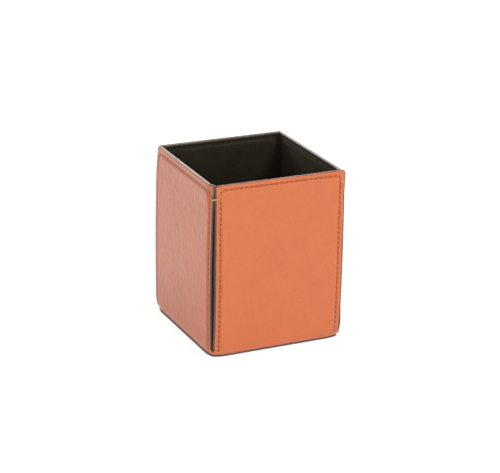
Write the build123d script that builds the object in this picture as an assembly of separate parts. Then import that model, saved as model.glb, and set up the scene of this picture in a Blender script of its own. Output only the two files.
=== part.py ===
from build123d import *
import os
from math import acos, atan2, cos, degrees, hypot, sin, sqrt

# Square desk cup for pencils. One cross of leather is folded up at the base into four walls, lined
# with a lining closed at its corners, stiffened by boards between the two, top-stitched, and tied
# near the rim. The leather's walls don't meet: a slot runs down each corner to a small web.
# Millimetres. The origin is the middle of the base on the table, +Z is up and -Y is the front.

# Overall size, measured outside
cup_width = 81.0         # left to right, where the base folds end
cup_depth = 81.0         # front to back, where the base folds end
cup_height = 100.0       # table to rim
fold_rise = 2.8          # height that the rounded base fold takes
wall_crown = 0.70        # how far a wall swells past the straight line from fold to rim
rim_draw_in = 0.45       # how far the ties draw each rim in

# Layers, from the outside in
leather_thickness = 1.2
lining_thickness = 0.8
board_thickness = 1.2
base_board_thickness = 1.2
panel_raise = 0.5        # how far a board lifts the leather over it

# Corner slots and raw edges
slot_width = 2.2         # from the corner line of the cup to the cut edge of the leather
slot_foot = 2.4          # height of the web under a slot
wall_corner_radius = 1.3
lining_trim = 0.45       # how far the lining stops below the leather's rim
edge_paint_build = 0.2   # how far the edge paint stands on the leather's edge
edge_paint_ease = 0.5    # slope of the paint towards the lining's face

# Boards, and the raised panels over them
board_side_margin = 3.9  # from the leather's side edge to the board
board_rim_margin = 4.3   # from the leather's rim edge to the board
board_foot_height = 5.0  # table to the lower edge of a wall board
board_corner_radius = 2.4
base_board_margin = 5.2  # from the outside of a fold to the base board
panel_lap = 0.15         # how far the flat of a raised panel runs past its board
panel_shoulder = 1.2     # width of the slope round a raised panel
panel_root = 0.08        # how far below the sheet's face that slope starts

# Stitching
stitch_pitch = 3.0         # wanted, and brought to a whole number of stitches in each seam
stitch_length = 2.45
stitch_width = 0.45
stitch_height = 0.28
stitch_side_offset = 2.2   # from the leather's side edge to the seam
stitch_rim_offset = 2.8    # from the rim to the seam
stitch_foot_height = 3.6   # table to the lower end of the seam
seam_corner_radius = 2.4
thread_clearance = 0.03    # between a thread and the face that it lies on

# Corner ties
tie_drop = 5.9             # from the rim to the tie
tie_thread_diameter = 0.44
tie_turns = 2
tie_turn_spacing = 0.52
tie_thread_sides = 8
tie_end_length = 1.2       # of thread that lies along the lining at each end
tie_sag = 0.7              # how far the lowest outer run hangs between its two slits
tie_hole_play = 0.08       # round the thread in its slit

# A wall is one arc that starts where the base fold ends and reaches the drawn-in rim
wall_rise = cup_height - fold_rise
wall_chord = hypot(wall_rise, rim_draw_in)
wall_half_turn = 2 * atan2(2 * wall_crown, wall_chord)
wall_radius = wall_chord / (2 * sin(wall_half_turn))
wall_flare = wall_half_turn - atan2(rim_draw_in, wall_rise)
fold_radius = fold_rise / (1 - sin(wall_flare))
fold_reach = fold_radius * cos(wall_flare)
fold_turn = 90 - degrees(wall_flare)

# Depths are counted from the outer face of the leather beside a seam, inwards
wall_depth = leather_thickness + lining_thickness
board_depth = leather_thickness - panel_raise
board_back_depth = board_depth + board_thickness
inner_panel_raise = board_back_depth - leather_thickness

# Heights
leather_rim = cup_height - edge_paint_build
lining_rim = leather_rim - lining_trim
tie_height = cup_height - tie_drop
slot_end_radius = slot_width / sqrt(2)
slot_straight_foot = slot_foot + slot_end_radius
tie_hole_height = (tie_turns - 1) * tie_turn_spacing + tie_thread_diameter + 2 * tie_hole_play

# A trimming block or cutter runs this far past what it cuts
overrun = 3.0

# Each wall is made facing +X: its turn about Z, half the span that it closes, half its leather's width
walls = {
    "right": (0, cup_width / 2, cup_depth / 2 - slot_width),
    "back": (90, cup_depth / 2, cup_width / 2 - slot_width),
    "left": (180, cup_width / 2, cup_depth / 2 - slot_width),
    "front": (270, cup_depth / 2, cup_width / 2 - slot_width),
}

# Each corner is made with its corner line on Z and the cup towards -X and -Y
corners = {
    "back_right": Pos(cup_width / 2, cup_depth / 2),
    "back_left": Pos(-cup_width / 2, cup_depth / 2) * Rot(0, 0, 90),
    "front_left": Pos(-cup_width / 2, -cup_depth / 2) * Rot(0, 0, 180),
    "front_right": Pos(cup_width / 2, -cup_depth / 2) * Rot(0, 0, 270),
}


def wall_centre(half_span):
    """Centre of the arc that a wall follows in side view, as X and Z."""
    return Vector(half_span - wall_radius * cos(wall_flare), fold_rise + wall_radius * sin(wall_flare))


def wall_line(half_span, depth):
    """The arc that a wall follows at one depth, from the end of its fold on past the rim."""
    away = Vector(cos(wall_flare), -sin(wall_flare))
    climb = Vector(sin(wall_flare), cos(wall_flare))
    start = wall_centre(half_span) + away * (wall_radius - depth)
    turn = degrees(2 * wall_half_turn + overrun / wall_radius)
    return JernArc(start, climb, wall_radius - depth, turn)


def folded_lines(half_span, depth):
    """The fold and the wall at one depth."""
    fold = JernArc((half_span - fold_reach, depth), (1, 0), fold_radius - depth, fold_turn)
    return [fold, wall_line(half_span, depth)]


def sheet_between(outer, inner, half_width):
    """Curved sheet between two runs of lines drawn in side view, made to reach half_width each way."""
    low_end = Line(inner[0] @ 0, outer[0] @ 0)
    high_end = Line(outer[-1] @ 1, inner[-1] @ 1)
    profile = make_face([low_end, *outer, high_end, *inner])
    return extrude(Plane.XZ * profile, half_width, both=True)


def wall_sheet(half_span, half_width, outer_depth, inner_depth):
    """One wall as a curved sheet between two depths, from the end of its fold on past the rim."""
    outer = [wall_line(half_span, outer_depth)]
    inner = [wall_line(half_span, inner_depth)]
    return sheet_between(outer, inner, half_width)


def folded_sheet(half_span, half_width, outer_depth, inner_depth):
    """One wall with its fold, as a curved sheet between two depths."""
    outer = folded_lines(half_span, outer_depth)
    inner = folded_lines(half_span, inner_depth)
    return sheet_between(outer, inner, half_width)


def wall_block(half_span, half_width, growth):
    """Block with the outline of a wall's leather, grown all round, to trim sheets with."""
    outline = RectangleRounded(
        2 * (half_width + growth),
        2 * (leather_rim + growth),
        wall_corner_radius + growth,
    )
    return extrude(Plane.YZ * outline, half_span + overrun)


def upright_span(half_span, low, high):
    """Box over a whole wall that reaches from one height to another."""
    return Pos(half_span, 0, (low + high) / 2) * Box(cup_width, 2 * cup_depth, high - low)


def corner_wedge(half_span, half_width):
    """Block between the upright planes that halve a wall's two corners, up to the lining's rim."""
    side = half_width + slot_width
    reach = fold_reach + overrun
    outline = Polygon(
        (half_span + overrun, side + overrun),
        (half_span - reach, side - reach),
        (half_span - reach, reach - side),
        (half_span + overrun, -side - overrun),
        align=None,
    )
    return Pos(0, 0, -overrun) * extrude(outline, lining_rim + overrun)


def board_block(half_span, half_width, growth):
    """Block with the outline of a wall board, grown all round, to trim sheets with."""
    low = board_foot_height - growth
    high = leather_rim - board_rim_margin + growth
    outline = RectangleRounded(
        2 * (half_width - board_side_margin + growth),
        high - low,
        board_corner_radius + growth,
    )
    return extrude(Plane.YZ * Pos(0, (low + high) / 2) * outline, half_span + overrun)


def broad_faces(solid):
    """The two largest faces of a sheet-like solid, the one towards the middle of the cup first."""
    return solid.faces().sort_by(SortBy.AREA)[-2:].sort_by(Axis.X)


def slope_edges(crest, rise):
    """Slope a pad down all round its crest face, to just under the sheet that the pad rises from."""
    return chamfer(crest.edges(), panel_shoulder, length2=rise + panel_root, reference=crest)


def wall_board(half_span, half_width):
    """Stiffener that lies between leather and lining and follows the wall's curve."""
    sheet = wall_sheet(half_span, half_width, board_depth, board_back_depth)
    return sheet & board_block(half_span, half_width, 0)


def outer_panel(half_span, half_width):
    """Leather lifted by the wall board, flat over it and sloping to the seam all round."""
    block = board_block(half_span, half_width, panel_lap + panel_shoulder)
    pad = wall_sheet(half_span, half_width, -panel_raise, leather_thickness / 4) & block
    return slope_edges(broad_faces(pad)[1], panel_raise)


def inner_panel(half_span, half_width):
    """Lining lifted by the wall board, flat over it and sloping to the seam all round."""
    block = board_block(half_span, half_width, panel_lap + panel_shoulder)
    root_depth = wall_depth - lining_thickness / 4
    pad = wall_sheet(half_span, half_width, root_depth, wall_depth + inner_panel_raise) & block
    return slope_edges(broad_faces(pad)[0], inner_panel_raise)


def base_rectangle(growth):
    """Outline of the base board, grown all round."""
    return RectangleRounded(
        cup_width - 2 * (base_board_margin - growth),
        cup_depth - 2 * (base_board_margin - growth),
        board_corner_radius + growth,
    )


def base_sheet(thickness):
    """The flat of the base between the four folds, lying on z = 0."""
    return extrude(Rectangle(cup_width - 2 * fold_reach, cup_depth - 2 * fold_reach), thickness)


def base_board():
    """Stiffener that lies flat on the leather of the base."""
    return Pos(0, 0, leather_thickness) * extrude(base_rectangle(0), base_board_thickness)


def base_panel():
    """Lining lifted by the base board, flat over it and sloping down all round."""
    rise = base_board_thickness + lining_thickness
    outline = base_rectangle(panel_lap + panel_shoulder)
    pad = Pos(0, 0, leather_thickness) * extrude(outline, rise)
    return slope_edges(pad.faces().sort_by(Axis.Z)[-1], base_board_thickness)


def corner_web():
    """Leather that joins two folds under a slot: a rounded corner with a U cut into its top."""
    base = Line((-slot_width - fold_reach, 0), (-fold_reach, 0))
    fold = JernArc(base @ 1, base % 1, fold_radius, fold_turn)
    side = Line(fold @ 1, (0, slot_straight_foot))
    top = Line(side @ 1, (-slot_width - fold_reach, slot_straight_foot))
    back = Line(top @ 1, base @ 0)
    section = make_face([base, fold, side, top, back])
    section &= Pos(-slot_width / 2, slot_straight_foot / 2) * Rectangle(slot_width, slot_straight_foot)
    upright = Pos(0, -slot_width, 0) * (Plane.XZ * section)
    web = revolve(upright, Axis((-slot_width, -slot_width, 0), (0, 0, 1)), 90)
    slot_line = Plane(origin=(0, 0, slot_straight_foot), z_dir=(1, 1, 0))
    return web - slot_line * Cylinder(slot_end_radius, 4 * slot_width)


def tie_holes(half_span, half_width):
    """Cutters for the two upright slits in a wall that its ties pass through."""
    outline = Rectangle(tie_thread_diameter + 2 * tie_hole_play, tie_hole_height)
    side = half_width - stitch_side_offset
    start = Plane(origin=(half_span - 2 * overrun, 0, 0), x_dir=(0, 1, 0), z_dir=(1, 0, 0))
    places = [Pos(side, tie_height), Pos(-side, tie_height)]
    return [extrude(start * place * outline, 3 * overrun) for place in places]


def outer_leather():
    """The folded cross of leather: sheets, raised panels and corner webs, less the boards' beds."""
    solid = base_sheet(leather_thickness)
    for turn, half_span, half_width in walls.values():
        wall = folded_sheet(half_span, half_width, 0, leather_thickness)
        wall &= wall_block(half_span, half_width, 0)
        wall += outer_panel(half_span, half_width)
        wall -= wall_board(half_span, half_width)
        for hole in tie_holes(half_span, half_width):
            wall -= hole
        solid += Rot(0, 0, turn) * wall
    for place in corners.values():
        solid += place * corner_web()
    return solid


def lining():
    """The lining: sheets that meet at the corners and raised panels, less the boards' beds and the webs."""
    solid = Pos(0, 0, leather_thickness) * base_sheet(lining_thickness) + base_panel()
    for turn, half_span, half_width in walls.values():
        wall = folded_sheet(half_span, half_width + slot_width, leather_thickness, wall_depth)
        wall &= corner_wedge(half_span, half_width)
        wall += inner_panel(half_span, half_width)
        wall -= wall_board(half_span, half_width)
        for hole in tie_holes(half_span, half_width):
            wall -= hole
        solid += Rot(0, 0, turn) * wall
    for place in corners.values():
        solid -= place * corner_web()
    return solid - base_board()


def edge_paint(half_span, half_width):
    """Bead of paint on a wall's cut edges: the leather's two sides, and leather and lining at the rim."""
    plate = wall_sheet(half_span, half_width + overrun, 0, wall_depth)
    plate &= wall_block(half_span, half_width, edge_paint_build)
    plate &= upright_span(half_span, slot_straight_foot, cup_height + overrun)
    plate = chamfer(broad_faces(plate)[0].edges().sort_by(Axis.Z)[1:], edge_paint_ease)
    leather_core = wall_sheet(half_span, half_width, -overrun, leather_thickness)
    lining_core = wall_sheet(half_span, half_width + overrun, leather_thickness, wall_depth + overrun)
    plate -= leather_core & wall_block(half_span, half_width, 0)
    plate -= lining_core & upright_span(half_span, 0, lining_rim)
    return plate


def wall_frame(half_span, depth, height):
    """Where a wall's face this deep stands at a height: its X, and its climb from level in radians."""
    centre = wall_centre(half_span)
    climb = acos((centre.Y - height) / (wall_radius - depth))
    return centre.X + (wall_radius - depth) * sin(climb), climb


def stitch():
    """One visible stitch, lying along X on the plane z = 0: a ridge of thread, flat below."""
    section = Polygon((-stitch_width / 2, 0), (stitch_width / 2, 0), (0, stitch_height), align=None)
    return extrude(Plane.YZ * section, stitch_length / 2, both=True)


def seam(half_span, half_width, depth, outward):
    """Stitches up one side of a wall, along its rim and down the other, but for the two at the ties."""
    side = half_width - stitch_side_offset
    top = cup_height - stitch_rim_offset
    route = FilletPolyline(
        (-side, stitch_foot_height),
        (-side, top),
        (side, top),
        (side, stitch_foot_height),
        radius=seam_corner_radius,
    )
    count = round(route.length / stitch_pitch)
    tie_reach = (stitch_length + tie_hole_height + tie_thread_diameter) / 2
    facing = 1 if outward else -1
    one_stitch = stitch()
    stitches = []
    for number in range(count):
        along = (number + 0.5) / count
        across, height = (route @ along).X, (route @ along).Y
        heading = route % along
        if abs(height - tie_height) < tie_reach:
            continue
        face_x, climb = wall_frame(half_span, depth, height)
        normal = Vector(sin(climb), 0, -cos(climb)) * facing
        run = Vector(heading.Y * cos(climb), heading.X, heading.Y * sin(climb))
        seat = Vector(face_x, across, height) + normal * thread_clearance
        stitches.append(Plane(origin=seat, x_dir=run, z_dir=normal).location * one_stitch)
    return stitches


def corner_tie():
    """One thread wound through a slit in each of two walls and round their corner, its ends laid inside."""
    seat = tie_thread_diameter / 2 + thread_clearance
    rim_face = wall_frame(0, 0, tie_height)[0]
    outside = rim_face + seat
    inside = rim_face - wall_depth - seat
    hole = -(slot_width + stitch_side_offset)
    bend = -(slot_width - edge_paint_build - seat / 2)
    stack = (tie_turns - 1) * tie_turn_spacing
    points = [(inside, hole + tie_end_length, tie_height + stack / 2)]
    for number in range(tie_turns):
        height = tie_height + stack / 2 - number * tie_turn_spacing
        hang = height - tie_sag * (number + 1) / tie_turns
        points += [
            (inside, hole, height),
            (outside, hole, height),
            (outside, bend, hang),
            (bend, outside, hang),
            (hole, outside, height),
            (hole, inside, height),
        ]
    points.append((hole + tie_end_length, inside, tie_height - stack / 2))
    route = Polyline(*points)
    section = RegularPolygon(tie_thread_diameter / 2, tie_thread_sides)
    return sweep(Plane(origin=route @ 0, z_dir=route % 0) * section, path=route, transition=Transition.RIGHT)


# Every piece by its name, each in its place in the cup
pieces = {
    "outer_leather": outer_leather(),
    "lining": lining(),
    "base_board": base_board(),
}
for name, (turn, half_span, half_width) in walls.items():
    wall = (half_span, half_width)
    place = Rot(0, 0, turn)
    pieces[name + "_board"] = place * wall_board(*wall)
    pieces[name + "_edge_paint"] = place * edge_paint(*wall)
    pieces[name + "_outer_stitching"] = place * Compound(seam(*wall, 0, outward=True))
    pieces[name + "_inner_stitching"] = place * Compound(seam(*wall, wall_depth, outward=False))
for name, place in corners.items():
    pieces[name + "_tie"] = place * corner_tie()

os.makedirs("parts", exist_ok=True)
for name, piece in pieces.items():
    export_step(piece, "parts/" + name + ".step")
print("written:", len(pieces), "pieces")
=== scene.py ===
import math

import bpy
import numpy as np
from mathutils import Matrix, Vector, noise


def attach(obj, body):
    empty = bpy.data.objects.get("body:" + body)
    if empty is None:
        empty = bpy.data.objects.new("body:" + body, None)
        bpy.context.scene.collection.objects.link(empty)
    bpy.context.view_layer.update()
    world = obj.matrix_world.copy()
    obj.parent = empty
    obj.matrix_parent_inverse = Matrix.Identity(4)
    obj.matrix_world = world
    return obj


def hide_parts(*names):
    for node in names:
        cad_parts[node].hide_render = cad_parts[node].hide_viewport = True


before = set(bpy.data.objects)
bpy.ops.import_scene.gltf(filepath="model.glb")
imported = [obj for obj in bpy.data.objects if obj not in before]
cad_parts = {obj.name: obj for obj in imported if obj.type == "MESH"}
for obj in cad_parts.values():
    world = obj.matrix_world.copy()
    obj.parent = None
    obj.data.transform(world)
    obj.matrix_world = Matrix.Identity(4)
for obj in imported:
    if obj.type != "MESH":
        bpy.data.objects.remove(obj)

bl_info = {
    "name": "Leather pencil cup",
    "version": (1, 0, 0),
    "blender": (4, 5, 0),
    "location": "3D View > Sidebar > Pencil cup",
    "description": "Dresses the folded, stitched and tied leather cup piece by piece",
    "category": "Object",
}

MM = 0.001
WALL_TURNS = {"right": 0, "back": 90, "left": 180, "front": 270}
CORNER_WALLS = {
    "back_right": ("right", "back"),
    "back_left": ("back", "left"),
    "front_left": ("left", "front"),
    "front_right": ("front", "right"),
}
# A hand-made cup is not quite square. In millimetres, for each wall's clockwise end, seen from above, and
# then its other end: how far its rim is drawn in, and how far its last 6 mm are tucked in from a height up.
RIM_PULL = {"right": (1.4, 1.1), "back": (0.2, 0.2), "left": (0.5, -1.0), "front": (0.0, -0.9)}
EDGE_TUCK = {"right": (0.45, 0.0, 8.0), "left": (0.0, 1.4, 86.0)}
# how far a wall is shifted along itself, and how far the top of its seam and panel is set lower
SIDE_SHIFT = {"front": 0.25}
SEAM_DROP = {"left": 0.8}


def length(name, millimetres, description):
    """A length that a user can set, kept in metres."""
    return bpy.props.FloatProperty(
        name=name, description=description, default=millimetres * MM,
        min=0.0, precision=5, subtype="DISTANCE", unit="LENGTH",
    )


def linear(hex_colour):
    """Linear red, green and blue of an sRGB hex colour."""
    values = [int(hex_colour[i:i + 2], 16) / 255 for i in (1, 3, 5)]
    return tuple(v / 12.92 if v <= 0.04045 else ((v + 0.055) / 1.055) ** 2.4 for v in values)


def colour(name, hex_colour, description):
    """A colour that a user can set, kept linear."""
    return bpy.props.FloatVectorProperty(
        name=name, description=description, default=linear(hex_colour),
        min=0.0, max=1.0, size=3, subtype="COLOR",
    )


class CupSizes(bpy.types.PropertyGroup):
    span: length("Span", 81.0, "Width and depth of the cup where its base folds end")
    height: length("Height", 100.0, "Table to rim")
    fold_rise: length("Fold rise", 2.8, "Height that the rounded base fold takes")
    wall_crown: length("Wall crown", 0.70, "How far a wall swells past straight")
    rim_draw_in: length("Rim draw-in", 0.45, "How far the ties draw each rim in")
    leather_thickness: length("Leather", 1.2, "Thickness of the leather")
    lining_thickness: length("Lining", 0.8, "Thickness of the lining")
    board_thickness: length("Board", 1.2, "Thickness of the boards")
    panel_raise: length("Panel raise", 0.5, "How far a board lifts the leather over it")
    slot_width: length("Slot", 1.65, "Corner line of the cup to the leather's cut edge")
    slot_foot: length("Slot foot", 2.4, "Height of the web under a slot")
    corner_radius: length("Wall corner", 1.3, "Rounding of a wall's two upper corners")
    lining_trim: length("Lining trim", 0.8, "How far the lining is cut back from the leather's edge")
    paint_build: length("Paint build", 0.3, "How far the edge paint stands on the cut edge")
    side_margin: length("Side margin", 4.3, "Leather's side edge to the board")
    rim_margin: length("Rim margin", 4.3, "Leather's rim edge to the board")
    board_foot: length("Board foot", 5.0, "Table to the lower edge of a wall board")
    board_corner: length("Board corner", 3.8, "Rounding of a board's corners")
    base_margin: length("Base margin", 5.2, "Outside of a fold to the base board")
    shoulder: length("Shoulder", 1.35, "Width of the slope round a raised panel")
    corner_lift: length("Corner lift", 1.0, "How far the folded base rises off the table at its corners")
    seam_side: length("Seam side", 2.65, "Leather's side edge to the seam")
    seam_rim: length("Seam rim", 2.8, "Rim to the seam")
    seam_foot: length("Seam foot", 3.6, "Table to the lower end of the seam")
    seam_corner: length("Seam corner", 3.2, "Rounding of the seam's corners")
    stitch_length: length("Stitch", 2.45, "Thread seen between two holes")
    thread: length("Thread", 0.42, "Thickness of the sewing thread")
    tie_drop: length("Tie drop", 5.9, "Rim to the tie")
    tie_spacing: length("Tie spacing", 0.52, "Between the tie's turns at a slit")
    tie_sag: length("Tie sag", 1.7, "How far the lower turn hangs")
    tie_thread: length("Tie thread", 0.6, "Thickness of the tie's thread")
    half_stitches: bpy.props.IntProperty(
        name="Half stitches", default=43, min=1,
        description="Stitches from the middle of the rim to the foot of a side",
    )


class CupColours(bpy.types.PropertyGroup):
    leather: colour("Leather", "#DC733B", "Tan leather")
    # also the painted shade in awl holes and seam grooves
    leather_deep_and_shade: colour("Leather, deep", "#A84820", "Tan leather in holes, pores and the groove of a seam")
    lining: colour("Lining", "#2D261A", "Suede lining")
    edge_paint: colour("Edge paint", "#5C4437", "Glossy paint on the cut edges")
    tan_thread: colour("Tan thread", "#D0703C", "Needle thread")
    tie: colour("Tie", "#E9965A", "Thread of the corner ties")
    black_thread: colour("Black thread", "#15130F", "Bobbin thread inside")
    board: colour("Board", "#8C755C", "Pressed fibre board")
    floor: colour("Floor", "#F4F4F4", "Plain pale floor")


# The folded form

def smooth(value):
    """Eased step from 0 to 1."""
    value = np.clip(value, 0, 1)
    return value * value * (3 - 2 * value)


def eased(height, start, run):
    """Eased step from 0 to 1 that begins at a height and takes this far, both in millimetres."""
    return smooth((height - start * MM) / (run * MM))


def rounded_distance(x, y, half_x, half_y, radius):
    """Distance outside a rounded rectangle round the origin, negative inside it."""
    a = np.abs(x) - (half_x - radius)
    b = np.abs(y) - (half_y - radius)
    return np.hypot(np.maximum(a, 0), np.maximum(b, 0)) + np.minimum(np.maximum(a, b), 0) - radius


class CupForm:
    """The folded form: where a point of a wall's flat cut lies once its wall stands.

    A wall is made facing +X. A point is given by how far it lies across the wall, how far along it from
    the start of the base fold, and how deep under the leather's outer face beside a seam.
    """

    def __init__(self, sizes):
        self.s = sizes
        self.half_span = sizes.span / 2
        self.half_width = self.half_span - sizes.slot_width
        rise = sizes.height - sizes.fold_rise
        chord = math.hypot(rise, sizes.rim_draw_in)
        half_turn = 2 * math.atan2(2 * sizes.wall_crown, chord)
        self.radius = chord / (2 * math.sin(half_turn))
        self.flare = half_turn - math.atan2(sizes.rim_draw_in, rise)
        self.fold_radius = sizes.fold_rise / (1 - math.sin(self.flare))
        self.fold_length = self.fold_radius * (math.pi / 2 - self.flare)
        self.fold_start = self.half_span - self.fold_radius * math.cos(self.flare)
        self.centre_x = self.half_span - self.radius * math.cos(self.flare)
        self.centre_z = sizes.fold_rise + self.radius * math.sin(self.flare)
        self.rim = sizes.height - sizes.paint_build
        self.side = self.half_width - sizes.seam_side
        self.top = sizes.height - sizes.seam_rim
        corner_saving = (2 - math.pi / 2) * sizes.seam_corner
        self.pitch = (self.side + self.top - sizes.seam_foot - corner_saving) / sizes.half_stitches
        self.tie_height = sizes.height - sizes.tie_drop

    def along(self, height):
        """How far along a wall its outer face reaches this height."""
        height = np.asarray(height, float)
        low = np.clip(height, 0, self.s.fold_rise)
        fold = self.fold_radius * np.arccos(1 - low / self.fold_radius)
        high = np.maximum(height, self.s.fold_rise)
        wall = self.radius * (np.arcsin((high - self.centre_z) / self.radius) + self.flare)
        return np.where(height <= self.s.fold_rise, fold, self.fold_length + wall)

    def height(self, along):
        """The height that a wall's outer face has reached this far along."""
        fold = self.fold_radius * (1 - np.cos(np.clip(along, 0, self.fold_length) / self.fold_radius))
        turn = np.maximum(along - self.fold_length, 0) / self.radius - self.flare
        return np.where(along <= self.fold_length, fold, self.centre_z + self.radius * np.sin(turn))

    def place(self, across, along, depth, wall=None):
        """Points of the wall that faces +X, as rows of x, y and z, out of true as a named wall is."""
        across, along, depth = np.broadcast_arrays(across, along, depth)
        if wall:
            across, along, depth = self.out_of_true(across, along, depth, wall)
        angle = np.clip(along, 0, self.fold_length) / self.fold_radius
        fold_x = self.fold_start + np.minimum(along, 0) + (self.fold_radius - depth) * np.sin(angle)
        fold_z = self.fold_radius - (self.fold_radius - depth) * np.cos(angle)
        turn = np.maximum(along - self.fold_length, 0) / self.radius - self.flare
        wall_x = self.centre_x + (self.radius - depth) * np.cos(turn)
        wall_z = self.centre_z + (self.radius - depth) * np.sin(turn)
        on_wall = along > self.fold_length
        return np.stack([np.where(on_wall, wall_x, fold_x), across, np.where(on_wall, wall_z, fold_z)], -1)

    def out_of_true(self, across, along, depth, wall):
        """Points of a true wall, moved as a named wall is out of true."""
        height = self.height(along)
        first, last = RIM_PULL[wall]
        share = (across / self.half_width + 1) / 2
        depth = depth + (first + (last - first) * share) * MM * eased(height, 85, 14)
        first, last, start = EDGE_TUCK.get(wall, (0, 0, 0))
        at_end = smooth(1 - (self.half_width - np.abs(across)) / (6 * MM))
        depth = depth + np.where(across < 0, first, last) * MM * at_end * eased(height, start, 12)
        across = across + SIDE_SHIFT.get(wall, 0) * MM * eased(height, 6, 14)
        near_rim = eased(height, 80, 10) * smooth((self.rim - height) / (2.2 * MM))
        return across, along - SEAM_DROP.get(wall, 0) * MM * near_rim, depth

    def lifted(self, points):
        """Points raised and drawn in near the lower corners, where the folded leather won't lie flat."""
        points = np.array(points, float)
        reach, drawn_in = 9 * MM, 0.012
        away = np.hypot(self.half_span - np.abs(points[:, 0]), self.half_span - np.abs(points[:, 1]))
        share = smooth(1 - away / reach) * smooth(1 - points[:, 2] / reach)
        points[:, 2] += self.s.corner_lift * share
        points[:, :2] *= 1 - drawn_in * share[:, None]
        return points

    def panel(self, across, height):
        """How fully a panel is raised at a point, from 0 beside the seam to 1 over the board."""
        s = self.s
        low, high = s.board_foot, self.rim - s.rim_margin
        reach = self.half_width - s.side_margin
        middle, half_height = (low + high) / 2, (high - low) / 2
        distance = rounded_distance(across, height - middle, reach, half_height, s.board_corner)
        gentler_foot = 1 + 2 * smooth((low + 6 * MM - height) / (6 * MM))
        return smooth(1 - (distance - 0.05 * MM) / (s.shoulder * gentler_foot))

    def seam(self, across, height):
        """Stitches counted along the seam from the middle of the rim, and the distance outside the seam."""
        radius = self.s.seam_corner
        flat = self.side - radius
        a = np.abs(across) - flat
        b = height - (self.top - radius)
        corner = (a > 0) & (b > 0)
        run = np.where(
            corner, flat + radius * np.arctan2(a, np.maximum(b, 1e-9)),
            np.where(b > a, np.abs(across), flat + radius * math.pi / 2 - b),
        )
        off = np.where(corner, np.hypot(a, b), np.maximum(a, b)) - radius
        return run / self.pitch, off


# Meshes

def spaced(*stops):
    """Grid lines through stops given as (place, spacing up to the next stop)."""
    lines = [stops[0][0]]
    for (start, spacing), (end, _) in zip(stops, stops[1:]):
        count = max(1, round((end - start) / spacing))
        lines += [start + (end - start) * (n + 1) / count for n in range(count)]
    return np.array(lines)


def picked(*pieces):
    """Selects these objects alone, and makes the first one active."""
    bpy.ops.object.select_all(action="DESELECT")
    for piece in pieces:
        piece.select_set(True)
    bpy.context.view_layer.objects.active = pieces[0]


def cut_grid(name, columns, rows):
    """A new flat grid, and each corner's place in the two lists of grid lines."""
    bpy.ops.mesh.primitive_grid_add(x_subdivisions=len(columns) - 1, y_subdivisions=len(rows) - 1, size=2)
    piece = bpy.context.object
    piece.name = piece.data.name = name
    unit = np.array([v.co for v in piece.data.vertices])
    across = np.rint((unit[:, 0] + 1) / 2 * (len(columns) - 1)).astype(int)
    up = np.rint((unit[:, 1] + 1) / 2 * (len(rows) - 1)).astype(int)
    return piece, across, up


def turned(points, turn):
    """Points turned about Z by this many degrees."""
    c, s = math.cos(math.radians(turn)), math.sin(math.radians(turn))
    return np.asarray(points, float) @ np.array([[c, s, 0], [-s, c, 0], [0, 0, 1]])


def set_points(piece, points, turn=0):
    """Gives a mesh its points, turned about Z by this many degrees."""
    piece.data.vertices.foreach_set("co", turned(points, turn).astype(np.float32).ravel())
    piece.data.update()


def set_seam(piece, stitches, off, hand=0):
    """Keeps each point's stitches along the seam, millimetres off it, and side of the wall."""
    seam = piece.data.attributes.new("seam", "FLOAT_VECTOR", "POINT")
    values = np.stack([stitches, off / MM, hand + np.zeros(len(off))], -1)
    seam.data.foreach_set("vector", values.astype(np.float32).ravel())


def set_no_seam(piece):
    """Marks a piece of sheet that no seam crosses."""
    nothing = np.zeros(len(piece.data.vertices))
    set_seam(piece, nothing, nothing + 0.1)


def joined(pieces, name):
    """One object out of several."""
    picked(*pieces)
    bpy.ops.object.join()
    whole = bpy.context.object
    whole.name = whole.data.name = name
    return whole


def edited(piece, *steps):
    """Runs edit mode steps on all of a mesh."""
    picked(piece)
    bpy.ops.object.mode_set(mode="EDIT")
    bpy.ops.mesh.select_all(action="SELECT")
    for step in steps:
        step()
    bpy.ops.object.mode_set(mode="OBJECT")


def modified(piece, kind, **settings):
    """Adds one modifier and applies it."""
    picked(piece)
    modifier = piece.modifiers.new(kind.title(), kind)
    for key, value in settings.items():
        setattr(modifier, key, value)
    bpy.ops.object.modifier_apply(modifier=modifier.name)


def finished(piece, material, slot, *nodes):
    """Shades a piece smooth between its edges, and gives it its material and its place on the object."""
    picked(piece)
    bpy.ops.object.shade_smooth_by_angle(angle=math.radians(40))
    piece.data.materials.clear()
    piece.data.materials.append(material)
    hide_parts(*nodes)
    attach(piece, "root")


def swell(points, size, height):
    """Slow unevenness of a hand-made sheet at each point, in metres."""
    return np.array([noise.noise(Vector(p) / size) for p in points]) * height


def rounded_corner(across, along, half_width, end, radius):
    """Draws the grid's two far corners in to a radius."""
    flat, side_end = half_width - radius, end - radius
    a, b = (np.abs(across) - flat) / radius, (along - side_end) / radius
    inside = (a > 0) & (b > 0)
    a, b = np.clip(a, 0, 1), np.clip(b, 0, 1)
    across = np.where(inside, np.sign(across) * (flat + radius * a * np.sqrt(1 - b * b / 2)), across)
    along = np.where(inside, side_end + radius * b * np.sqrt(1 - a * a / 2), along)
    return across, along


# Materials

def node(tree, kind, inputs=None, **settings):
    """Adds a shader node with its settings. Each input, by name or number, gets a value, or a link from a
    socket or from the first output that another node has in use."""
    made = tree.nodes.new(kind)
    for key, value in settings.items():
        setattr(made, key, value)
    for key, value in (inputs or {}).items():
        if isinstance(value, bpy.types.Node):
            value = next(output for output in value.outputs if output.enabled)
        if isinstance(value, bpy.types.NodeSocket):
            tree.links.new(value, made.inputs[key])
        else:
            made.inputs[key].default_value = value
    return made


def emptied(block):
    """A material or world made ready for nodes of its own, and its tree."""
    block.use_nodes = True
    block.node_tree.nodes.clear()
    return block, block.node_tree


def tinted(rgb, strength):
    """A colour made darker or lighter, as a socket takes it."""
    return (*[min(1.0, c * strength) for c in rgb], 1.0)


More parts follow.
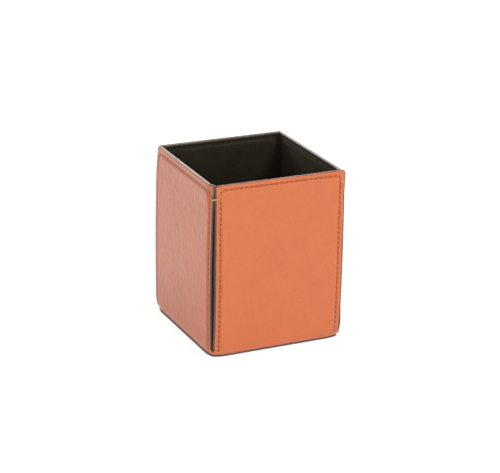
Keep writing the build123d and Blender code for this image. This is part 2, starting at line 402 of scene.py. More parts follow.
def seam_holes(tree, half_width, half_length):
    """1 in a seam's slanting awl holes and 0 away from them, and how far off the seam a point is, in mm."""
    seam = node(tree, "ShaderNodeAttribute", attribute_name="seam").outputs["Vector"]
    stitches, off, hand = node(tree, "ShaderNodeSeparateXYZ", {0: seam}).outputs
    nearest = node(tree, "ShaderNodeMath", {0: stitches}, operation="ROUND")
    beside = node(tree, "ShaderNodeMath", {0: stitches, 1: nearest}, operation="SUBTRACT")
    handed = node(tree, "ShaderNodeMath", {0: beside, 1: hand}, operation="MULTIPLY")
    # a stitch counts as 2.8 mm here, and the holes slant by half a right angle
    stitch, slant = 2.8, 0.7071
    run = node(tree, "ShaderNodeMath", {0: handed, 1: stitch * slant}, operation="MULTIPLY")
    rise = node(tree, "ShaderNodeMath", {0: off, 1: slant}, operation="MULTIPLY")
    total = node(tree, "ShaderNodeMath", {0: run, 1: rise}, operation="ADD")
    difference = node(tree, "ShaderNodeMath", {0: run, 1: rise}, operation="SUBTRACT")
    long = node(tree, "ShaderNodeMath", {0: total, 1: half_length}, operation="DIVIDE")
    short = node(tree, "ShaderNodeMath", {0: difference, 1: half_width}, operation="DIVIDE")
    long = node(tree, "ShaderNodeMath", {0: long, 1: long}, operation="MULTIPLY")
    square = node(tree, "ShaderNodeMath", {0: short, 1: short, 2: long}, operation="MULTIPLY_ADD")
    holes = node(tree, "ShaderNodeMath", {0: 1.0, 1: square}, operation="SUBTRACT", use_clamp=True)
    return holes, node(tree, "ShaderNodeMath", {0: off}, operation="ABSOLUTE")


def vegetable_tanned_leather(colours):
    """Full-grain cowhide, drum dyed, waxed and rolled: fine pores and creases, warm colour that is never
    quite even, a clear wax film that shines at a glance along it, no wax in seams and awl holes, darker
    dye with painted shade in the seam groove, and painted shade in the awl holes."""
    material, tree = emptied(bpy.data.materials.new("vegetable_tanned_leather"))
    where = node(tree, "ShaderNodeTexCoord").outputs["Object"]
    # patches of 20 mm, puckers of 3 mm, and a grain of about 0.9 mm, drawn twice as coarse as the hide's
    patches, puckers, fine = [
        node(tree, "ShaderNodeTexNoise", {
            "Vector": where, "Scale": scale, "Detail": detail, "Roughness": roughness,
        })
        for scale, detail, roughness in ((45.0, 4.0, 0.6), (330.0, 3.0, 0.5), (700.0, 5.0, 0.65))
    ]
    grain = node(tree, "ShaderNodeTexVoronoi", {
        "Vector": where, "Scale": 1100.0,
    }, feature="DISTANCE_TO_EDGE")
    holes, off = seam_holes(tree, 0.28, 0.66)
    # 1 along the middle of a seam's groove, which is painted darker: partly its compressed dye and partly
    # painted shade
    groove = node(tree, "ShaderNodeMapRange", {
        "Value": off, "From Min": 0.1, "From Max": 0.95, "To Min": 0.32, "To Max": 0.0,
    })
    pores = node(tree, "ShaderNodeMapRange", {
        "Value": grain, "From Max": 0.12, "To Min": 0.14, "To Max": 0.0,
    })
    # painted shade: the awl holes, which are only in the bump, are painted a deeper tan
    holes_with_painted_shade = node(tree, "ShaderNodeMath", {0: holes, 1: 2.2}, operation="MULTIPLY", use_clamp=True)
    groove_shade_and_pores = node(tree, "ShaderNodeMath", {0: groove, 1: pores}, operation="MAXIMUM")
    # the mix gives random patches, pores in the grain's own deeper tone, darker dye with painted shade in
    # the seam groove, and painted shade in the awl holes
    shade = tinted(colours.leather, 0.92)
    for share, rgb, strength in (
        (patches, colours.leather, 1.08), (groove_shade_and_pores, colours.leather_deep_and_shade, 0.9),
        (holes_with_painted_shade, colours.leather_deep_and_shade, 0.7),
    ):
        shade = node(tree, "ShaderNodeMix", {
            "Factor": share, "A": shade, "B": tinted(rgb, strength),
        }, data_type="RGBA")
    relief = grain
    for layer, height in ((fine, 0.6), (puckers, 3.0), (holes, -3.0)):
        relief = node(tree, "ShaderNodeMath", {0: layer, 1: height, 2: relief}, operation="MULTIPLY_ADD")
    bump = node(tree, "ShaderNodeBump", {"Height": relief, "Strength": 1.0, "Distance": 0.0002})
    rough = node(tree, "ShaderNodeMapRange", {"Value": fine, "To Min": 0.38, "To Max": 0.52})
    bare = node(tree, "ShaderNodeMath", {0: groove, 1: 1.8, 2: holes_with_painted_shade}, operation="MULTIPLY_ADD")
    wax = node(tree, "ShaderNodeMapRange", {"Value": bare, "To Min": 0.72, "To Max": 0.0})
    surface = node(tree, "ShaderNodeBsdfPrincipled", {
        "Base Color": shade, "Roughness": rough, "Normal": bump, "IOR": 1.4,
        "Coat Weight": wax, "Coat Roughness": 0.3, "Coat IOR": 1.4, "Coat Normal": bump,
    })
    node(tree, "ShaderNodeOutputMaterial", {"Surface": surface})
    return material


def suede_lining(colours):
    """Thin pigskin suede, dyed brown-black and buffed: no gloss, a short nap that catches the light."""
    material, tree = emptied(bpy.data.materials.new("buffed_suede_lining"))
    where = node(tree, "ShaderNodeTexCoord").outputs["Object"]
    # the nap's fibres are a tenth of a millimetre, drawn ten times as coarse to show
    nap = node(tree, "ShaderNodeTexNoise", {
        "Vector": where, "Scale": 900.0, "Detail": 6.0, "Roughness": 0.7,
    })
    strokes = node(tree, "ShaderNodeTexNoise", {"Vector": where, "Scale": 60.0, "Detail": 3.0})
    mixed = node(tree, "ShaderNodeMath", {0: nap, 1: 1.6, 2: strokes}, operation="MULTIPLY_ADD")
    tone = node(tree, "ShaderNodeMapRange", {"Value": mixed, "From Min": 0.7, "From Max": 1.9})
    shade = node(tree, "ShaderNodeMix", {
        "Factor": tone, "A": tinted(colours.lining, 0.4), "B": tinted(colours.lining, 1.9),
    }, data_type="RGBA")
    holes, _ = seam_holes(tree, 0.4, 0.6)
    height = node(tree, "ShaderNodeMath", {0: holes, 1: -2.0, 2: nap}, operation="MULTIPLY_ADD")
    bump = node(tree, "ShaderNodeBump", {"Height": height, "Strength": 0.5, "Distance": 0.00015})
    surface = node(tree, "ShaderNodeBsdfPrincipled", {
        "Base Color": shade, "Normal": bump, "Roughness": 0.9, "IOR": 1.4,
        "Sheen Weight": 0.15, "Sheen Roughness": 0.4, "Sheen Tint": (1.0, 0.86, 0.62, 1.0),
    })
    node(tree, "ShaderNodeOutputMaterial", {"Surface": surface})
    return material


def mottled(name, rgb, tones, grain, surface, relief=None):
    """A material of one noise, which its colour follows between two tones, and its height if it has any."""
    material, tree = emptied(bpy.data.materials.new(name))
    where = node(tree, "ShaderNodeTexCoord").outputs["Object"]
    grain = node(tree, "ShaderNodeTexNoise", {"Vector": where, **grain})
    tone = node(tree, "ShaderNodeMix", {
        "Factor": grain, "A": tinted(rgb, tones[0]), "B": tinted(rgb, tones[1]),
    }, data_type="RGBA")
    surface = node(tree, "ShaderNodeBsdfPrincipled", {"Base Color": tone, **surface})
    if relief:
        bump = node(tree, "ShaderNodeBump", {"Height": grain, **relief})
        tree.links.new(bump.outputs["Normal"], surface.inputs["Normal"])
    node(tree, "ShaderNodeOutputMaterial", {"Surface": surface})
    return material


def acrylic_edge_paint(colours):
    """Acrylic edge paint, several coats, sanded and glossed: hard, dark brown, a slow wave in its film."""
    # the brush leaves a wave of about 4 mm
    return mottled(
        "glossed_acrylic_edge_paint", colours.edge_paint, (0.75, 1.35), {"Scale": 260.0, "Detail": 3.0},
        {"Roughness": 0.16, "IOR": 1.5}, {"Strength": 0.12, "Distance": 0.0001},
    )


def waxed_thread(name, rgb):
    """Bonded polyester thread, twisted and waxed: silky, its plies seen as light and dark flecks."""
    # plies of 0.2 mm, drawn half as coarse again
    return mottled(
        name, rgb, (0.75, 1.3), {"Scale": 3500.0, "Detail": 2.0},
        {"Roughness": 0.35, "IOR": 1.5, "Sheen Weight": 0.1}, {"Strength": 0.5, "Distance": 0.00008},
    )


def pressed_fibre_board(colours):
    """Pressed fibre board: matt, flecked by its short fibres."""
    # flecks of just under a millimetre
    return mottled(
        "pressed_fibre_board", colours.board, (0.7, 1.3), {"Scale": 1200.0, "Detail": 4.0},
        {"Roughness": 0.85},
    )


# Pieces

class CUP_OT_leather(bpy.types.Operator):
    """Folds the cross of tan leather: base, four raised walls and the webs under the corner slots"""

    bl_idname = "cup.leather"
    bl_label = "Leather"

    def execute(self, context):
        sizes = context.scene.cup_sizes
        form = CupForm(sizes)
        half = form.half_width
        start = form.fold_radius * math.asin((half - form.fold_start) / form.fold_radius)
        slot_radius = sizes.slot_width / math.sqrt(2)
        web_top = sizes.slot_foot + slot_radius
        web_end = float(form.along(web_top))
        end = float(form.along(form.rim))
        fine, wide = 0.4 * MM, 1.6 * MM
        band = half - 5.4 * MM
        columns = spaced((-half, fine), (-band, wide), (0, wide), (band, fine), (half, 0))
        rows = spaced(
            (start, 0.45 * MM), (web_end, fine), (float(form.along(7.0 * MM)), wide),
            (end - 6.4 * MM, fine), (end, 0),
        )
        base, i, j = cut_grid("leather_base", columns, columns)
        x, y = columns[j], columns[i]
        reach = np.maximum(np.abs(x), np.abs(y)) - form.fold_start
        rise = form.fold_radius - np.sqrt(form.fold_radius ** 2 - np.maximum(reach, 0) ** 2)
        set_points(base, form.lifted(np.stack([x, y, rise], -1)))
        set_no_seam(base)
        parts = [base]
        groove_depth, groove_width = 0.34 * MM, 0.55 * MM
        swell_size, swell_height = 0.016, 0.07 * MM
        edge_drop, edge_width = 0.25 * MM, 0.5 * MM
        for name, turn in WALL_TURNS.items():
            wall, i, j = cut_grid("leather_wall", columns, rows)
            across, along = rounded_corner(columns[i], rows[j], half, end, sizes.corner_radius)
            height = form.height(along)
            raised = form.panel(across, height)
            stitches, off = form.seam(across, height)
            groove = np.exp(-(off / groove_width) ** 2) * smooth((height - sizes.seam_foot + 1 * MM) / MM)
            depth = groove_depth * groove - sizes.panel_raise * raised
            flat = form.place(across, along, depth)
            depth = depth + swell(flat + turn, swell_size, swell_height) * raised
            depth = depth + edge_drop * smooth(1 - (end - rows[j]) / edge_width)
            set_points(wall, form.lifted(form.place(across, along, depth, name)), turn)
            off = np.where(height < sizes.seam_foot - 0.5 * MM, 0.1, off)
            set_seam(wall, stitches, off, np.sign(across))
            parts.append(wall)
        foot_rows = rows[rows <= web_end + 1e-9]
        for turn in WALL_TURNS.values():
            parts.append(self.web(form, foot_rows, web_top, slot_radius, turn))
        leather = joined(parts, "tan_leather_cross")
        edited(leather, lambda: bpy.ops.mesh.remove_doubles(threshold=0.00001))
        modified(leather, "SOLIDIFY", thickness=sizes.leather_thickness, offset=-1)
        sharp = math.radians(50)
        modified(leather, "BEVEL", width=0.14 * MM, segments=2, limit_method="ANGLE", angle_limit=sharp)
        material = vegetable_tanned_leather(context.scene.cup_colours)
        finished(leather, material, "tan_leather", "outer_leather")
        flat = 2 * (form.fold_start + end)
        return {"FINISHED"}

    def web(self, form, rows, web_top, slot_radius, turn):
        """The rounded corner between two folds, with the U-shaped end of the slot as its upper edge."""
        steps = np.linspace(0, math.pi / 2, 13)
        web, i, j = cut_grid("leather_web", steps, rows)
        angle = steps[i]
        across_slot = form.s.slot_width * np.cos(angle + math.pi / 4)
        lip = web_top - np.sqrt(np.maximum(slot_radius ** 2 - across_slot ** 2, 0))
        start, web_end = rows[0], rows[-1]
        share = (rows[j] - start) / (web_end - start)
        profile = form.place(0, start + share * (form.along(lip) - start), 0)
        radius = profile[:, 0] - form.half_width
        x, y = form.half_width + radius * np.cos(angle), form.half_width + radius * np.sin(angle)
        set_points(web, form.lifted(np.stack([x, y, profile[:, 2]], -1)), turn)
        set_no_seam(web)
        return web


class CUP_OT_lining(bpy.types.Operator):
    """Folds the black suede lining, lifted over the boards and closed round the four corners"""

    bl_idname = "cup.lining"
    bl_label = "Lining"

    def execute(self, context):
        sizes = context.scene.cup_sizes
        form = CupForm(sizes)
        # the lining's walls reach this far past where the base folds start
        past_fold = 0.47 * MM
        half = form.fold_start + past_fold
        depth = sizes.leather_thickness + sizes.lining_thickness
        lift = sizes.board_thickness - sizes.panel_raise
        inner_radius = form.fold_radius - depth
        start = form.fold_radius * math.asin(past_fold / inner_radius)
        end = float(form.along(form.rim - sizes.lining_trim))
        fine, wide = 0.4 * MM, 1.6 * MM
        band = half - 4.2 * MM
        columns = spaced((-half, fine), (-band, wide), (0, wide), (band, fine), (half, 0))
        rows = spaced(
            (start, 0.45 * MM), (float(form.along(8.0 * MM)), wide),
            (end - 6.4 * MM, fine), (end, 0),
        )
        base, i, j = cut_grid("lining_base", columns, columns)
        x, y = columns[i], columns[j]
        board = form.half_span - sizes.base_margin
        raised = smooth(1 - rounded_distance(x, y, board, board, sizes.board_corner) / sizes.shoulder)
        reach = np.maximum(np.maximum(np.abs(x), np.abs(y)) - form.fold_start, 0)
        floor = form.fold_radius - np.sqrt(inner_radius ** 2 - reach ** 2)
        flat = np.stack([x, y, floor + sizes.board_thickness * raised], -1)
        swell_height = 0.08 * MM
        flat[:, 2] += swell(flat, 0.012, swell_height) * raised
        set_points(base, form.lifted(flat))
        set_no_seam(base)
        parts = [base]
        groove_depth, groove_width = 0.2 * MM, 0.6 * MM
        edges = {}
        for name, turn in WALL_TURNS.items():
            wall, i, j = cut_grid("lining_wall", columns, rows)
            across, along = -columns[i], rows[j]
            height = form.height(along)
            raised = form.panel(across, height)
            stitches, off = form.seam(across, height)
            groove = np.exp(-(off / groove_width) ** 2) * smooth((height - sizes.seam_foot) / MM)
            face = depth - groove_depth * groove + lift * raised
            face = face + swell(form.place(across, along, face) - turn, 0.014, swell_height) * raised
            set_points(wall, form.lifted(form.place(across, along, face, name)), turn)
            set_seam(wall, stitches, np.where(height < sizes.seam_foot, 0.1, off), np.sign(across))
            parts.append(wall)
            for hand in (-1, 1):
                edges[name, hand] = turned(form.lifted(form.place(hand * half, rows, depth, name)), turn)
        for first, second in CORNER_WALLS.values():
            parts.append(self.corner(edges[first, 1], edges[second, -1], WALL_TURNS[first]))
        lining = joined(parts, "suede_lining")
        edited(
            lining,
            lambda: bpy.ops.mesh.remove_doubles(threshold=0.00001),
            lambda: bpy.ops.mesh.normals_make_consistent(inside=True),
        )
        modified(lining, "SOLIDIFY", thickness=sizes.lining_thickness, offset=-1)
        finished(lining, suede_lining(context.scene.cup_colours), "black_lining", "lining")
        flat = 2 * (form.fold_start + end)
        return {"FINISHED"}

    def corner(self, first, second, turn):
        """The lining carried round one corner between two walls' edges, a little lower at its middle."""
        steps = np.linspace(0, 1, 7)
        piece, i, j = cut_grid("lining_corner", steps, np.arange(len(first)))
        t = steps[i][:, None]
        start, end = first[j], second[j]
        x_from, y_from = (start, end) if turn % 180 == 0 else (end, start)
        bend = np.stack([x_from[:, 0], y_from[:, 1], (start[:, 2] + end[:, 2]) / 2], -1)
        points = (1 - t) ** 2 * start + 2 * t * (1 - t) * bend + t * t * end
        near_top = smooth((points[:, 2] - first[-1, 2] + 6 * MM) / (6 * MM))
        points[:, 2] -= 0.5 * MM * np.sin(math.pi * t[:, 0]) ** 2 * near_top
        set_points(piece, points)
        set_no_seam(piece)
        return piece


class CUP_OT_edge_paint(bpy.types.Operator):
    """Builds the glossy bead of paint round each wall's cut edges"""

    bl_idname = "cup.edge_paint"
    bl_label = "Edge paint"

    def execute(self, context):
        sizes = context.scene.cup_sizes
        form = CupForm(sizes)
        material = acrylic_edge_paint(context.scene.cup_colours)
        foot = float(form.along(sizes.slot_foot + sizes.slot_width / math.sqrt(2)))
        rim = float(form.along(form.rim))
        flat = form.half_width - sizes.corner_radius
        step = 1.5 * MM
        side = spaced((foot, step), (rim - sizes.corner_radius, 0))
        corner = np.linspace(0, math.pi / 2, 9)[1:-1]
        top = spaced((-flat, step), (flat, 0))
        route = [(-form.half_width, v, -1.0, 0.0) for v in side]
        route += [self.arc(form, rim, -1, a) for a in corner]
        route += [(u, rim, 0.0, 1.0) for u in top]
        route += [self.arc(form, rim, 1, a) for a in corner[::-1]]
        route += [(form.half_width, v, 1.0, 0.0) for v in side[::-1]]
        route = np.array(route)
        on_rim = np.abs(route[:, 3])[:, None, None]
        sections = self.side_section(sizes) * (1 - on_rim) + self.rim_section(sizes) * on_rim
        count = sections.shape[1]
        for name, turn in WALL_TURNS.items():
            bead, i, j = cut_grid(name + "_bead", np.arange(count + 1), np.arange(len(route)))
            out, depth = sections[j, i % count].T
            across, along, out_u, out_v = route[j].T
            # the front wall's left edge has had the most coats
            extra = np.where((out > 0) & (name == "front"), np.clip(-out_u, 0, 1) ** 2, 0)
            out = out * (1 + extra)
            points = form.place(across + out * out_u, along + out * out_v, depth, name)
            set_points(bead, form.lifted(points), turn)
            edited(
                bead,
                lambda: bpy.ops.mesh.remove_doubles(threshold=0.000005),
                lambda: bpy.ops.mesh.select_all(action="DESELECT"),
                lambda: bpy.ops.mesh.select_non_manifold(),
                lambda: bpy.ops.mesh.edge_face_add(),
                lambda: bpy.ops.mesh.select_all(action="SELECT"),
                lambda: bpy.ops.mesh.normals_make_consistent(inside=False),
            )
            finished(bead, material, "edge_paint", name + "_edge_paint")
        return {"FINISHED"}

    def arc(self, form, rim, hand, angle):
        """A stop on the rounded corner of the leather: place, and direction out of it."""
        radius = form.s.corner_radius
        out_u, out_v = hand * math.cos(angle), math.sin(angle)
        across = hand * (form.half_width - radius) + radius * out_u
        return across, rim - radius + radius * out_v, out_u, out_v

    def rim_section(self, sizes):
        """The bead over leather and lining: distance out from the leather's edge and depth, all round."""
        build, trim = sizes.paint_build, sizes.lining_trim
        leather = sizes.leather_thickness
        deep = leather + sizes.lining_thickness
        return np.array([
            (-0.1 * MM, 0.2 * MM), (0.3 * build, 0.27 * MM), (0.62 * build, 0.4 * MM),
            (0.86 * build, 0.6 * MM), (build, 0.9 * MM), (0.97 * build, 1.2 * MM), (0.78 * build, 1.5 * MM),
            (0.35 * build, 1.77 * MM), (-0.35 * trim, 1.95 * MM), (-0.9 * trim, deep + 0.06 * MM),
            (-trim, leather), (-0.02 * MM, leather - 0.05 * MM),
        ])

    def side_section(self, sizes):
        """The bead on the leather alone, where the lining runs on round the corner."""
        build, leather = sizes.paint_build, sizes.leather_thickness
        return np.array([
            (-0.3 * MM, -0.04 * MM), (0.35 * build, -0.02 * MM), (0.75 * build, 0.12 * MM),
            (0.93 * build, 0.3 * MM), (build, 0.45 * MM), (build, 0.65 * MM), (0.96 * build, 0.82 * MM),
            (0.85 * build, 0.96 * MM), (0.6 * build, 1.1 * MM), (0.2 * build, 1.2 * MM),
            (-0.1 * MM, leather + 0.02 * MM), (-0.03 * MM, 0.3 * MM),
        ])


class CUP_OT_stitching(bpy.types.Operator):
    """Sews the seams: tan needle thread outside, black bobbin thread inside, a stitch between two holes"""

    bl_idname = "cup.stitching"
    bl_label = "Stitching"

    def execute(self, context):
        sizes = context.scene.cup_sizes
        form = CupForm(sizes)
        colours = context.scene.cup_colours
        deep = sizes.leather_thickness + sizes.lining_thickness
        sides = (
            ("outer", "tan", colours.tan_thread, 1, 0.2 * MM),
            ("inner", "black", colours.black_thread, -1, deep - 0.1 * MM),
        )
        for side, hue, rgb, facing, depth in sides:
            material = waxed_thread("waxed_" + hue + "_thread", rgb)
            pattern = self.stitch(sizes, facing)
            for name, turn in WALL_TURNS.items():
                spot = Matrix.Rotation(math.radians(turn), 4, "Z")
                copies = []
                for place in self.places(form, depth, facing, name):
                    copy = pattern.copy()
                    copy.data = pattern.data.copy()
                    copy.data.transform(spot @ place)
                    context.collection.objects.link(copy)
                    copies.append(copy)
                seam = joined(copies, name + "_" + side + "_stitches")
                finished(seam, material, hue + "_thread", name + "_" + side + "_stitching")
            bpy.data.objects.remove(pattern)
        return {"FINISHED"}

    def stitch(self, sizes, hand):
        """One stitch along X: a rounded length of thread that arches up and dives in at each end."""
        bpy.ops.mesh.primitive_uv_sphere_add(segments=8, ring_count=8, radius=1)
        pattern = bpy.context.object
        unit = np.array([v.co for v in pattern.data.vertices])
        run = unit[:, 2]
        fuller = np.sqrt(1 + run * run)
        half = sizes.stitch_length / 2 + 0.12 * MM
        thick = sizes.thread / 2
        slant = 0.05 * MM * hand
        points = np.stack([
            run * half,
            unit[:, 0] * fuller * thick + slant * np.sin(run * math.pi / 2),
            unit[:, 1] * fuller * thick * 0.8 - 0.34 * MM * run ** 4 + 0.02 * MM,
        ], -1)
        set_points(pattern, points)
        edited(pattern, lambda: bpy.ops.mesh.normals_make_consistent(inside=False))
        return pattern

    def places(self, form, depth, facing, wall):
        """A matrix for each stitch of one seam, but for those that would cover the slits of the ties."""
        s = form.s
        reach = (s.stitch_length + s.tie_spacing + 2 * s.thread) / 2
        made = []
        for number in range(-s.half_stitches, s.half_stitches):
            across, height, lead, climb = self.on_seam(form, (number + 0.5) * form.pitch)
            if abs(height - form.tie_height) < reach:
                continue
            along = float(form.along(height))
            seat = Vector(form.place(across, along, depth, wall))
            ahead = Vector(form.place(across, along + 0.1 * MM, depth, wall)) - seat
            up = ahead.normalized()
            run = Vector((0, 1, 0)) * lead + up * climb
            out = Vector((0, 1, 0)).cross(up) * facing
            axes = Matrix((run, out.cross(run), out)).transposed().to_4x4()
            made.append(Matrix.Translation(seat) @ axes)
        return made

    def on_seam(self, form, run):
        """Where a seam is this far from the middle of the rim, and its heading: across and up."""
        hand, run = (1 if run >= 0 else -1), abs(run)
        radius = form.s.seam_corner
        flat = form.side - radius
        if run <= flat:
            return hand * run, form.top, hand * 1.0, 0.0
        if run <= flat + radius * math.pi / 2:
            turn = (run - flat) / radius
            return (
                hand * (flat + radius * math.sin(turn)), form.top - radius + radius * math.cos(turn),
                hand * math.cos(turn), -math.sin(turn),
            )
        return hand * form.side, form.top - radius - (run - flat - radius * math.pi / 2), 0.0, -1.0


class CUP_OT_ties(bpy.types.Operator):
    """Winds the thread tie round each corner near the rim, its inside run between leather and lining"""

    bl_idname = "cup.ties"
    bl_label = "Corner ties"

    def execute(self, context):
        form = CupForm(context.scene.cup_sizes)
        material = waxed_thread("waxed_tie_thread", context.scene.cup_colours.tie)
        for name, walls in CORNER_WALLS.items():
            curve = bpy.data.curves.new(name + "_tie_thread", "CURVE")
            curve.dimensions = "3D"
            for number in range(2):
                self.wind(curve, self.turn(form, walls, number))
            curve.bevel_depth = form.s.tie_thread / 2
            curve.bevel_resolution = 3
            curve.use_fill_caps = True
            tie = bpy.data.objects.new(name + "_tie_thread", curve)
            context.collection.objects.link(tie)
            picked(tie)
            bpy.ops.object.convert(target="MESH")
            tie = context.object
            edited(
                tie,
                lambda: bpy.ops.mesh.remove_doubles(threshold=0.000001),
                lambda: bpy.ops.mesh.normals_make_consistent(inside=False),
            )
            finished(tie, material, "tan_thread", name + "_tie")
        return {"FINISHED"}

    def turn(self, form, walls, number):
        """One turn round a corner through a slit in each wall, its ends laid between leather and lining."""
        s = form.s
        deep = s.leather_thickness - 0.05 * MM
        leave = form.tie_height + s.tie_spacing * (0.5 - number)
        arrive = form.tie_height + s.tie_spacing * (number - 0.5)
        hang = form.tie_height - s.tie_sag * (0.72 + 0.22 * number)
        # the ties of the two back corners are pulled in tight
        lift = -0.2 * MM if "back" in walls else s.tie_thread * (0.5 + 0.3 * number)
        end = s.seam_side + 0.35 * MM
        stops = (
            (0, -1.4 * MM, deep, leave), (0, -0.5 * MM, deep, leave), (0, 0, deep * 0.9, leave),
            (0, -0.05 * MM, 0.3 * MM, leave), (0, 0.25 * MM, -lift, leave),
            (0, 1.5 * MM, -lift, (leave + 2 * hang) / 3), (0, end, -lift * 0.8, hang + 0.3 * MM),
            (1, end, -lift * 0.8, hang), (1, 1.5 * MM, -lift, (arrive + 3 * hang) / 4),
            (1, 0.25 * MM, -lift, arrive), (1, -0.05 * MM, 0.3 * MM, arrive),
            (1, 0, deep * 0.9, arrive), (1, -0.5 * MM, deep, arrive), (1, -1.4 * MM, deep, arrive),
        )
        points = []
        for which, beyond, depth, height in stops:
            wall = walls[which]
            across = (1 - 2 * which) * (form.side + beyond)
            points.append(turned(form.place(across, form.along(height), depth, wall), WALL_TURNS[wall]))
        return points

    def wind(self, curve, points):
        """Adds one smooth strand through these stops to a curve."""
        spline = curve.splines.new("NURBS")
        spline.points.add(len(points) - 1)
        for point, where in zip(spline.points, points):
            point.co = (*where, 1)
        spline.order_u = 4
        spline.use_endpoint_u = True
        spline.resolution_u = 6


class CUP_OT_boards(bpy.types.Operator):
    """Gives the hidden boards their fibre finish"""

    bl_idname = "cup.boards"
    bl_label = "Boards"

    def execute(self, context):
        material = pressed_fibre_board(context.scene.cup_colours)
        for name in ("base", *WALL_TURNS):
            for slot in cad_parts[name + "_board"].material_slots:
                slot.material = material
        return {"FINISHED"}


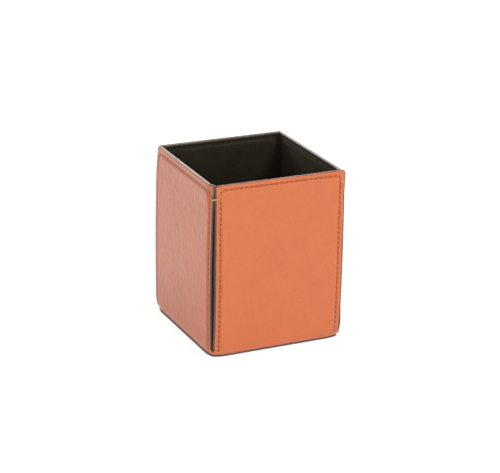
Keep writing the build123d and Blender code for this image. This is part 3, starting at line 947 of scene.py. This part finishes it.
class CUP_OT_stage(bpy.types.Operator):
    """Sets the pale floor, the soft lights and the camera"""

    bl_idname = "cup.stage"
    bl_label = "Stage"

    def execute(self, context):
        self.floor(context)
        self.world(context)
        # place and side length in metres, and power in watts
        self.lamp(context, "key_softbox", (0.50, -0.42, 1.25), 0.45, 8.0)
        self.lamp(context, "front_softbox", (-0.15, -1.05, 0.20), 0.6, 3.8)
        self.lamp(context, "back_softbox", (-0.15, 1.05, 0.70), 0.6, 6.0)
        self.lamp(context, "rim_softbox", (0.64, 1.0, 0.24), 0.42, 2.0)
        self.camera(context)
        context.scene.view_settings.view_transform = "Standard"
        return {"FINISHED"}

    def floor(self, context):
        """A matt sweep that the camera sees as white, but for the shadow that the cup throws on it and a
        painted contact shadow, tinted by a painted red-brown bounce, where the cup stands close over it.
        """
        bpy.ops.mesh.primitive_plane_add(size=8)
        floor = context.object
        floor.name = "floor"
        material, tree = emptied(bpy.data.materials.new("matt_white_floor"))
        path = node(tree, "ShaderNodeLightPath").outputs
        shade = node(tree, "ShaderNodeMix", {
            "Factor": path["Is Camera Ray"], "A": tinted(context.scene.cup_colours.floor, 1.0),
            "B": (0.3, 0.3, 0.3, 1.0),
        }, data_type="RGBA")
        diffuse = node(tree, "ShaderNodeBsdfDiffuse", {"Color": shade})
        # painted contact shadow: the glow fades where the cup stands close over the floor, which keeps that
        # line dark, and warms to a painted red-brown bounce of the leather
        open_sky = node(tree, "ShaderNodeAmbientOcclusion", {"Distance": 0.0014}, samples=8).outputs["AO"]
        # 1 clear of the painted contact shadow, down to 0.04 where the cup stands close over the floor
        clear = node(tree, "ShaderNodeMapRange", {
            "Value": open_sky, "From Min": 0.5, "From Max": 0.9, "To Min": 0.04, "To Max": 1.0,
        })
        seen = node(tree, "ShaderNodeMath", {0: path["Is Camera Ray"], 1: clear}, operation="MULTIPLY")
        seen = node(tree, "ShaderNodeMath", {0: seen, 1: 0.84}, operation="MULTIPLY")
        seen = node(tree, "ShaderNodeMath", {
            0: path["Is Glossy Ray"], 1: 0.5, 2: seen,
        }, operation="MULTIPLY_ADD")
        # painted bounce: the glow's colour turns red-brown near the cup
        painted_bounce_tint = node(tree, "ShaderNodeMix", {
            "Factor": clear, "A": (0.5, 0.12, 0.06, 1.0), "B": (1.0, 1.0, 1.0, 1.0),
        }, data_type="RGBA")
        glow = node(tree, "ShaderNodeEmission", {"Color": painted_bounce_tint, "Strength": seen})
        both = node(tree, "ShaderNodeAddShader", {0: diffuse, 1: glow})
        node(tree, "ShaderNodeOutputMaterial", {"Surface": both})
        floor.data.materials.append(material)

    def world(self, context):
        """A white tent: even light, and in reflections a white sweep at the horizon under a dimmer room."""
        world, tree = emptied(bpy.data.worlds.new("white_tent"))
        path = node(tree, "ShaderNodeLightPath").outputs
        towards = node(tree, "ShaderNodeTexCoord").outputs["Generated"]
        sweep = node(tree, "ShaderNodeMapRange", {
            "Value": node(tree, "ShaderNodeSeparateXYZ", {0: towards}).outputs["Z"],
            "From Min": 0.08, "From Max": 0.28, "To Min": 0.95, "To Max": 0.6,
        })
        reflected = node(tree, "ShaderNodeMix", {
            "Factor": path["Is Glossy Ray"], "A": 0.36, "B": sweep,
        }, data_type="FLOAT")
        strength = node(tree, "ShaderNodeMix", {
            "Factor": path["Is Camera Ray"], "A": reflected, "B": 0.9,
        }, data_type="FLOAT")
        light = node(tree, "ShaderNodeBackground", {"Strength": strength, "Color": (1, 1, 1, 1)})
        node(tree, "ShaderNodeOutputWorld", {"Surface": light})
        context.scene.world = world

    def lamp(self, context, name, place, size, power):
        """A square softbox turned to the middle of the cup."""
        data = bpy.data.lights.new(name, "AREA")
        data.shape = "SQUARE"
        data.size = size
        data.energy = power
        lamp = bpy.data.objects.new(name, data)
        context.collection.objects.link(lamp)
        lamp.location = place
        aim = Vector((0, 0, 0.05)) - Vector(place)
        lamp.rotation_euler = aim.to_track_quat("-Z", "Y").to_euler()

    def camera(self, context):
        """The photograph's camera: its focal length in pixels of a frame 500 wide, its aim and its tilt."""
        focal_pixels, frame_pixels, distance = 1836.9, 500, 1.0483
        data = bpy.data.cameras.new("camera")
        data.sensor_fit = "HORIZONTAL"
        data.sensor_width = 36
        data.lens = focal_pixels / frame_pixels * data.sensor_width
        data.clip_start, data.clip_end = 0.01, 20
        camera = bpy.data.objects.new("camera", data)
        context.collection.objects.link(camera)
        azimuth, elevation, roll = map(math.radians, (-25.56, 20.28, 1.107))
        target = Vector((1.18, 0, 52.3)) * MM
        level = math.cos(elevation)
        back = Vector((math.sin(azimuth) * level, -math.cos(azimuth) * level, math.sin(elevation)))
        right = Vector((0, 0, 1)).cross(back).normalized()
        up = back.cross(right)
        rolled = right * math.cos(roll) + up * math.sin(roll)
        upright = up * math.cos(roll) - right * math.sin(roll)
        axes = Matrix((rolled, upright, back)).transposed().to_4x4()
        camera.matrix_world = Matrix.Translation(target + back * distance) @ axes
        context.scene.camera = camera


class CUP_PT_pieces(bpy.types.Panel):
    """Buttons that make the pieces in order, and the sizes and colours that they are made to"""

    bl_idname = "CUP_PT_pieces"
    bl_label = "Pencil cup"
    bl_space_type = "VIEW_3D"
    bl_region_type = "UI"
    bl_category = "Pencil cup"

    def draw(self, context):
        for operator in PIECES:
            self.layout.operator(operator.bl_idname)
        for group in (context.scene.cup_sizes, context.scene.cup_colours):
            box = self.layout.box()
            for name in group.bl_rna.properties.keys():
                if name not in ("rna_type", "name"):
                    box.prop(group, name)


PIECES = (
    CUP_OT_leather, CUP_OT_lining, CUP_OT_edge_paint, CUP_OT_stitching, CUP_OT_ties, CUP_OT_boards,
    CUP_OT_stage,
)
CLASSES = (CupSizes, CupColours, *PIECES, CUP_PT_pieces)


def register():
    for made in CLASSES:
        bpy.utils.register_class(made)
    bpy.types.Scene.cup_sizes = bpy.props.PointerProperty(type=CupSizes)
    bpy.types.Scene.cup_colours = bpy.props.PointerProperty(type=CupColours)


def unregister():
    del bpy.types.Scene.cup_colours
    del bpy.types.Scene.cup_sizes
    for made in reversed(CLASSES):
        bpy.utils.unregister_class(made)


def main():
    """Makes the pieces in order."""
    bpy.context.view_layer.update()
    register()
    bpy.ops.cup.leather()
    bpy.ops.cup.lining()
    bpy.ops.cup.edge_paint()
    bpy.ops.cup.stitching()
    bpy.ops.cup.ties()
    bpy.ops.cup.boards()
    bpy.ops.cup.stage()


if __name__ == "__main__":
    main()
